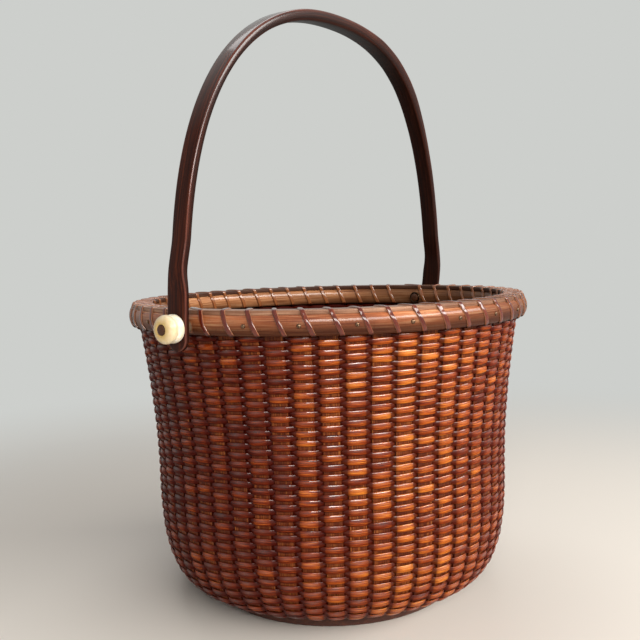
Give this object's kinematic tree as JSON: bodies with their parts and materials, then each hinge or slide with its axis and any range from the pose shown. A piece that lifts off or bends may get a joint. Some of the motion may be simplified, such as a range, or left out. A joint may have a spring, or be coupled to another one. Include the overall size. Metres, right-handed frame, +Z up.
{
  "type": "swing-handled woven basket",
  "caption": "Round open basket of cane woven over wooden staves, with a turned base, a nailed and lashed rim, and a bent wooden handle that swings on bone-capped pins.",
  "frame": {"origin": "middle of the base's underside, on the surface that the basket stands on", "axes": "+Z up out of the mouth; X along the two handle pins; the handle leans towards -Y at rest"},
  "size_m": [0.2408, 0.2097, 0.301],
  "materials": {
    "base_wood": "satin varnish, dark",
    "stave_wood": "satin varnish",
    "woven_cane": "gloss varnish, aged orange-brown",
    "hoop_wood": "gloss varnish",
    "cap_wood": "worn satin",
    "lash_cane": "gloss varnish",
    "handle_wood": "satin varnish, dark",
    "bone": "polished",
    "pin_wood": "satin",
    "nail_brass": "worn, slightly dulled"
  },
  "bodies": {
    "basket": {"base_plate": "base_wood", "stave_cage": "stave_wood", "outer_weave": "woven_cane", "inner_weave": "woven_cane", "outer_rim_hoop": "hoop_wood", "inner_rim_hoop": "hoop_wood", "rim_cap": "cap_wood", "rim_lashing": "lash_cane", "rim_nail_01": "nail_brass", "rim_nail_02": "nail_brass", "rim_nail_03": "nail_brass", "rim_nail_04": "nail_brass", "rim_nail_05": "nail_brass", "rim_nail_06": "nail_brass", "rim_nail_07": "nail_brass", "rim_nail_08": "nail_brass", "rim_nail_09": "nail_brass", "rim_nail_10": "nail_brass", "rim_nail_11": "nail_brass", "rim_nail_12": "nail_brass", "rim_nail_13": "nail_brass", "rim_nail_14": "nail_brass", "rim_nail_15": "nail_brass", "rim_nail_16": "nail_brass", "rim_nail_17": "nail_brass", "rim_nail_18": "nail_brass", "rim_nail_19": "nail_brass", "rim_nail_20": "nail_brass", "rim_nail_21": "nail_brass", "rim_nail_22": "nail_brass", "rim_nail_23": "nail_brass", "rim_nail_24": "nail_brass", "left_pin": "pin_wood", "left_under_washer": "bone", "left_outer_washer": "bone", "left_knob": "bone", "left_burr": "nail_brass", "right_pin": "pin_wood", "right_under_washer": "bone", "right_outer_washer": "bone", "right_knob": "bone", "right_burr": "nail_brass"},
    "handle": {"handle": "handle_wood"}
  },
  "joints": [
    {"name": "handle_swing", "type": "hinge", "parent": "basket", "child": "handle", "pos_m": [0, 0, 0.1482], "axis": [1, 0, 0], "range_deg": [-142.7, 137.3]}
  ]
}
